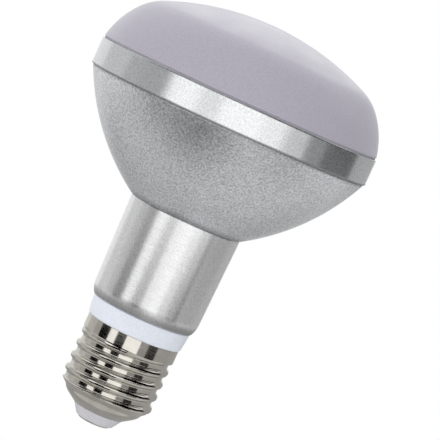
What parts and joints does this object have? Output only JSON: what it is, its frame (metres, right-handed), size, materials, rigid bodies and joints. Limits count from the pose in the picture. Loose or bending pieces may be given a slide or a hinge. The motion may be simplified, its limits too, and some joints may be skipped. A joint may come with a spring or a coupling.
{
  "type": "led spotlight bulb",
  "caption": "Reflector lamp with LEDs: screw cap, white collar, slim polished neck, satin bell, bright rim band and a low frosted dome, with its driver and LED board inside.",
  "frame": {"origin": "centre of the flat face of the centre contact, on the lamp's axis", "axes": "+Z along the axis from the cap to the dome; -Z is the way the cap screws in; +X is the side whose thread crests show at the right in the picture"},
  "size_m": [0.08, 0.08, 0.1171],
  "materials": {
    "nickel": "polished nickel plating",
    "nose": "moulded, slight gloss",
    "collar": "moulded, white",
    "polished_aluminium": "turned and polished",
    "satin_aluminium": "fine blasted satin",
    "bright_band": "bright turned",
    "seal": "matt",
    "frost": "frosted, milky",
    "plain_aluminium": "mill finish",
    "pad": "matt",
    "white_board": "white solder mask",
    "phosphor": "LED phosphor",
    "screw_steel": "zinc plated",
    "white_nylon": "moulded",
    "green_board": "solder mask",
    "ferrite": "sintered, matt",
    "black_nylon": "moulded",
    "copper": "enamelled winding",
    "can_sleeve": "shrunk sleeve",
    "film_block": "moulded",
    "resistor_body": "lacquered",
    "chip_black": "moulded",
    "red_wire": "insulation",
    "black_wire": "insulation",
    "white_wire": "insulation"
  },
  "bodies": {
    "root": {"centre_contact": "nickel", "tip_insulator": "nose", "screw_shell": "nickel", "base_body": "collar", "neck_sleeve": "polished_aluminium", "bell_housing": "satin_aluminium", "rim_band": "bright_band", "diffuser_seal": "seal", "diffuser": "frost", "neck_screws": "screw_steel", "heat_spreader": "plain_aluminium", "thermal_pad": "pad", "led_board": "white_board", "led_chips": "phosphor", "board_screws": "screw_steel", "lead_connector": "white_nylon", "driver_board": "green_board", "transformer_core": "ferrite", "transformer_bobbin": "black_nylon", "transformer_winding": "copper", "bulk_capacitor": "can_sleeve", "output_capacitor": "can_sleeve", "filter_capacitor": "film_block", "choke_core": "ferrite", "choke_winding": "copper", "bridge_rectifier": "chip_black", "controller_chip": "chip_black", "output_diode": "chip_black", "fuse_resistor": "resistor_body", "live_lead": "white_wire", "neutral_lead": "white_wire", "positive_lead": "red_wire", "negative_lead": "black_wire"}
  },
  "joints": []
}
